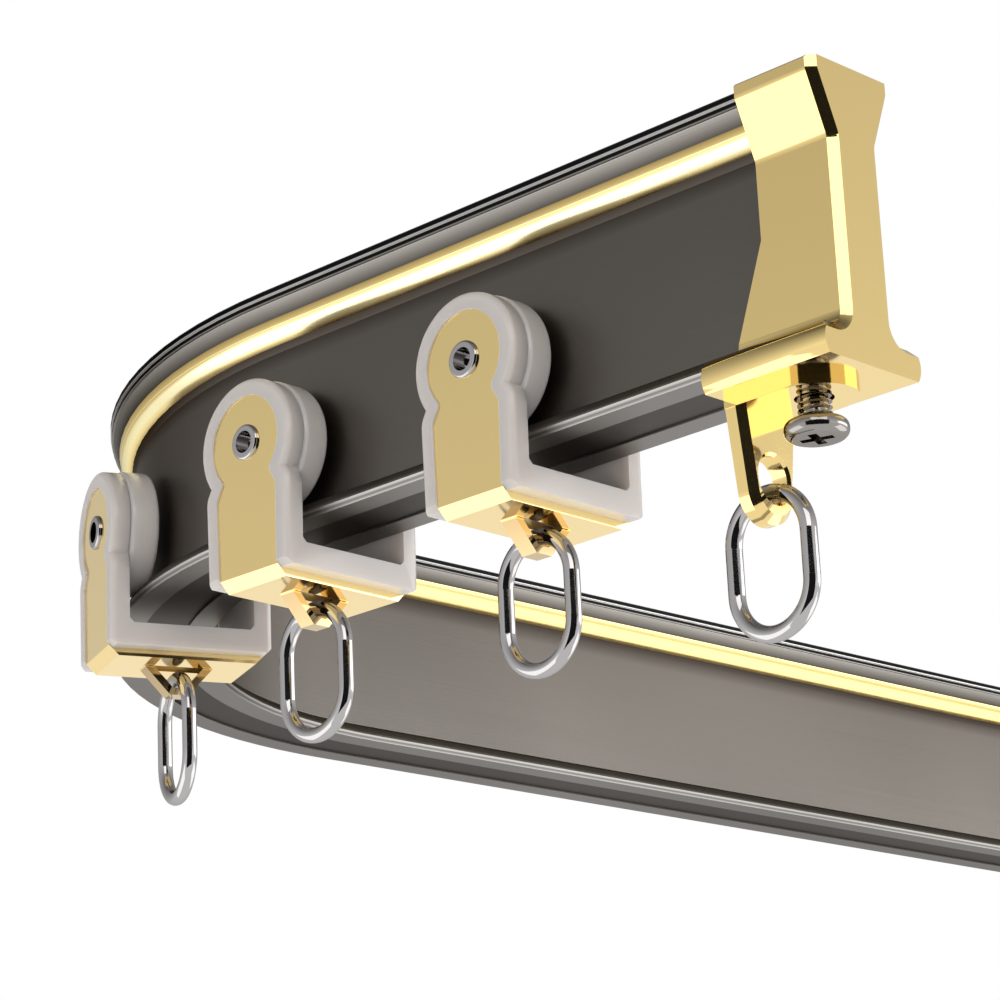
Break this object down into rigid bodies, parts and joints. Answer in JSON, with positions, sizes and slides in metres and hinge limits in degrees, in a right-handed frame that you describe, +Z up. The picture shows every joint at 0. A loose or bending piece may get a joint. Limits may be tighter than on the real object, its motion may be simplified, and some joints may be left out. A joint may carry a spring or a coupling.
{
  "type": "curtain track",
  "caption": "Bent ceiling curtain rail with gold trim, end caps with slotted tabs, and wheeled carriages whose oval rings take curtain hooks.",
  "frame": {"origin": "on the rail's top face, over its centre line, where the straight near arm meets the bend", "axes": "+Z up, out of the rail's top; +X along the near arm towards its end cap; +Y towards the bend's centre and the far arm"},
  "size_m": [0.1797, 0.2995, 0.064],
  "materials": {
    "rail": "satin anodised",
    "trim": "gold, polished",
    "cap": "gold, satin",
    "bracket": "gold plated, satin",
    "nylon": "white, satin",
    "ring": "polished",
    "screw": "polished",
    "rivet": "gold plated"
  },
  "bodies": {
    "track": {"track_rail": "rail", "trim_strip_outer": "trim", "trim_strip_inner": "trim", "end_cap_near": "cap", "hanging_tab_near": "cap", "end_cap_far": "cap", "hanging_tab_far": "cap"},
    "clamp_screw_near": {"clamp_screw_near": "screw"},
    "end_ring_near": {"end_ring_near": "ring"},
    "clamp_screw_far": {"clamp_screw_far": "screw"},
    "end_ring_far": {"end_ring_far": "ring"},
    "carriage_near": {"bracket_near": "bracket", "liner_near": "nylon", "axle_front_near": "rivet", "axle_back_near": "rivet"},
    "wheel_front_near": {"wheel_front_near": "nylon"},
    "wheel_back_near": {"wheel_back_near": "nylon"},
    "ring_near": {"ring_near": "ring"},
    "carriage_middle": {"bracket_middle": "bracket", "liner_middle": "nylon", "axle_front_middle": "rivet", "axle_back_middle": "rivet"},
    "wheel_front_middle": {"wheel_front_middle": "nylon"},
    "wheel_back_middle": {"wheel_back_middle": "nylon"},
    "ring_middle": {"ring_middle": "ring"},
    "carriage_bend": {"bracket_bend": "bracket", "liner_bend": "nylon", "axle_front_bend": "rivet", "axle_back_bend": "rivet"},
    "wheel_front_bend": {"wheel_front_bend": "nylon"},
    "wheel_back_bend": {"wheel_back_bend": "nylon"},
    "ring_bend": {"ring_bend": "ring"}
  },
  "joints": [
    {"name": "clamp_screw_near_travel", "type": "slide", "parent": "track", "child": "clamp_screw_near", "axis": [0, 0, 1], "range_m": [0, 0.0024]},
    {"name": "end_ring_near_swing", "type": "hinge", "parent": "track", "child": "end_ring_near", "pos_m": [0.07615, 0, -0.0512], "axis": [0, 1, 0], "range_deg": [-45, 45]},
    {"name": "clamp_screw_far_travel", "type": "slide", "parent": "track", "child": "clamp_screw_far", "axis": [0, 0, 1], "range_m": [0, 0.0024]},
    {"name": "end_ring_far_swing", "type": "hinge", "parent": "track", "child": "end_ring_far", "pos_m": [-0.07337, 0.27123, -0.0512], "axis": [-0.9994, 0.0349, 0], "range_deg": [-45, 45]},
    {"name": "carriage_near_run", "type": "slide", "parent": "track", "child": "carriage_near", "axis": [1, 0, 0], "range_m": [-0.009, 0.014]},
    {"name": "wheel_front_near_spin", "type": "hinge", "parent": "carriage_near", "child": "wheel_front_near", "pos_m": [0.0402, -0.00665, -0.02195], "axis": [0, 1, 0], "continuous": true},
    {"name": "wheel_back_near_spin", "type": "hinge", "parent": "carriage_near", "child": "wheel_back_near", "pos_m": [0.0402, 0.00665, -0.02195], "axis": [0, 1, 0], "continuous": true},
    {"name": "ring_near_swing", "type": "hinge", "parent": "carriage_near", "child": "ring_near", "pos_m": [0.0402, 0, -0.0476], "axis": [0, 1, 0], "range_deg": [-45, 45]},
    {"name": "carriage_middle_run", "type": "slide", "parent": "track", "child": "carriage_middle", "axis": [1, 0, 0], "range_m": [0, 0.009]},
    {"name": "wheel_front_middle_spin", "type": "hinge", "parent": "carriage_middle", "child": "wheel_front_middle", "pos_m": [0.001, -0.00665, -0.02195], "axis": [0, 1, 0], "continuous": true},
    {"name": "wheel_back_middle_spin", "type": "hinge", "parent": "carriage_middle", "child": "wheel_back_middle", "pos_m": [0.001, 0.00665, -0.02195], "axis": [0, 1, 0], "continuous": true},
    {"name": "ring_middle_swing", "type": "hinge", "parent": "carriage_middle", "child": "ring_middle", "pos_m": [0.001, 0, -0.0476], "axis": [0, 1, 0], "range_deg": [-45, 45]},
    {"name": "carriage_bend_run", "type": "hinge", "parent": "track", "child": "carriage_bend", "pos_m": [0, 0.08, -0.02195], "axis": [0, 0, -1], "range_deg": [-11, 58]},
    {"name": "wheel_front_bend_spin", "type": "hinge", "parent": "carriage_bend", "child": "wheel_front_bend", "pos_m": [-0.03878, 0.00253, -0.02195], "axis": [0.3891, 0.9212, 0], "continuous": true},
    {"name": "wheel_back_bend_spin", "type": "hinge", "parent": "carriage_bend", "child": "wheel_back_bend", "pos_m": [-0.03361, 0.01478, -0.02195], "axis": [0.3891, 0.9212, 0], "continuous": true},
    {"name": "ring_bend_swing", "type": "hinge", "parent": "carriage_bend", "child": "ring_bend", "pos_m": [-0.03619, 0.00866, -0.0476], "axis": [0.3891, 0.9212, 0], "range_deg": [-45, 45]}
  ],
  "couplings": [
    {"joint": "wheel_front_near_spin", "follows": "carriage_near_run", "rad_per_m": 116.28},
    {"joint": "wheel_back_near_spin", "follows": "carriage_near_run", "rad_per_m": 116.28},
    {"joint": "wheel_front_middle_spin", "follows": "carriage_middle_run", "rad_per_m": 116.28},
    {"joint": "wheel_back_middle_spin", "follows": "carriage_middle_run", "rad_per_m": 116.28},
    {"joint": "wheel_front_bend_spin", "follows": "carriage_bend_run", "ratio": -10.076},
    {"joint": "wheel_back_bend_spin", "follows": "carriage_bend_run", "ratio": -8.5291}
  ]
}
